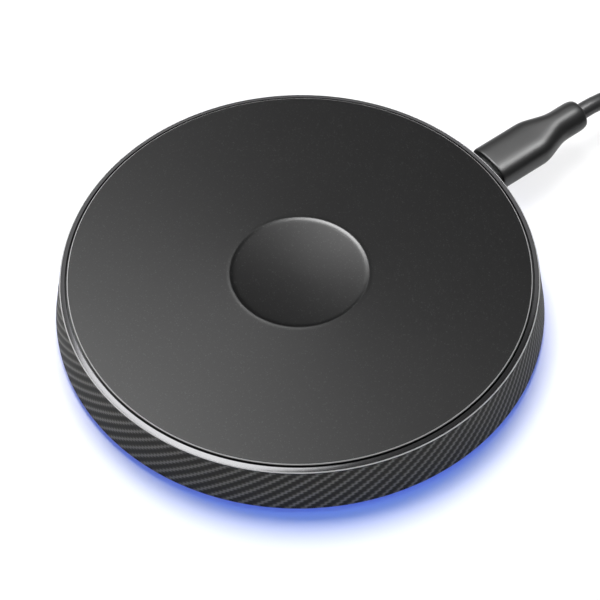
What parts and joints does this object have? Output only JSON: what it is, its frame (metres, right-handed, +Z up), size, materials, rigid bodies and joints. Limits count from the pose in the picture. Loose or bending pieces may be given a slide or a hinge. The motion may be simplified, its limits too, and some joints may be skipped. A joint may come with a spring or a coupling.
{
  "type": "wireless charging pad",
  "caption": "Round flat wireless charging pad with a dished top, metal bezel, woven-texture flared wall, light ring below and a detachable plug-in lead.",
  "frame": {"origin": "on the standing surface, under the middle of the pad", "axes": "+Z up out of the charging face, +Y out of the socket along the plug, +X to the right of it"},
  "size_m": [0.1108, 0.193, 0.0122],
  "materials": {
    "soft_top": "fine-grained soft-touch coating with a faint sparkle",
    "bezel_metal": "turned and polished black bezel with a bright edge",
    "woven_band": "black twill-weave texture, satin",
    "black_plastic": "fine moulded texture",
    "diffuser": "milky translucent, lit blue",
    "silicone": "matte silicone",
    "foam": "foam tape",
    "litz_copper": "bundled copper litz wire",
    "ferrite": "sintered ferrite, matte",
    "board_laminate": "glass laminate under solder mask",
    "chip_black": "moulded epoxy",
    "capacitor_ceramic": "ceramic chip",
    "led_lens": "clear resin over phosphor",
    "steel": "nickel-plated pressed steel",
    "gold_plate": "gold-plated contact",
    "white_plastic": "moulded connector body",
    "grip_rubber": "satin moulded grip",
    "cable_jacket": "smooth matte cable jacket",
    "strap": "hook-and-loop strap"
  },
  "bodies": {
    "pad": {"top_cover": "soft_top", "bezel_ring": "bezel_metal", "side_band": "woven_band", "housing_frame": "black_plastic", "light_ring": "diffuser", "bottom_cover": "black_plastic", "foot_ring": "silicone", "case_screw_1": "steel", "case_screw_2": "steel", "case_screw_3": "steel", "case_screw_4": "steel", "adhesive_ring": "foam", "coil_tray": "black_plastic", "ferrite_shield": "ferrite", "transmit_coil": "litz_copper", "thermistor": "chip_black", "coil_lead_1": "litz_copper", "coil_lead_2": "litz_copper", "circuit_board": "board_laminate", "controller_chip": "chip_black", "bridge_chip_1": "chip_black", "bridge_chip_2": "chip_black", "resonant_capacitor_1": "capacitor_ceramic", "resonant_capacitor_2": "capacitor_ceramic", "resonant_capacitor_3": "capacitor_ceramic", "power_inductor": "ferrite", "clock_crystal": "steel", "led_1": "led_lens", "led_2": "led_lens", "led_3": "led_lens", "led_4": "led_lens", "led_5": "led_lens", "led_6": "led_lens", "led_7": "led_lens", "led_8": "led_lens", "usb_socket_shell": "steel", "usb_socket_tongue": "chip_black"},
    "lead": {"plug_shell": "steel", "plug_insulator": "white_plastic", "plug_overmould": "grip_rubber", "cable_run": "cable_jacket", "cable_coil": "cable_jacket", "cable_tie": "strap", "cable_tail": "cable_jacket", "usb_a_overmould": "grip_rubber", "usb_a_shell": "steel", "usb_a_insulator": "white_plastic", "usb_a_contact_1": "gold_plate", "usb_a_contact_2": "gold_plate", "usb_a_contact_3": "gold_plate", "usb_a_contact_4": "gold_plate"}
  },
  "joints": [
    {"name": "plug_slide", "type": "slide", "parent": "pad", "child": "lead", "axis": [0, 1, 0], "range_m": [0, 0.012]}
  ]
}
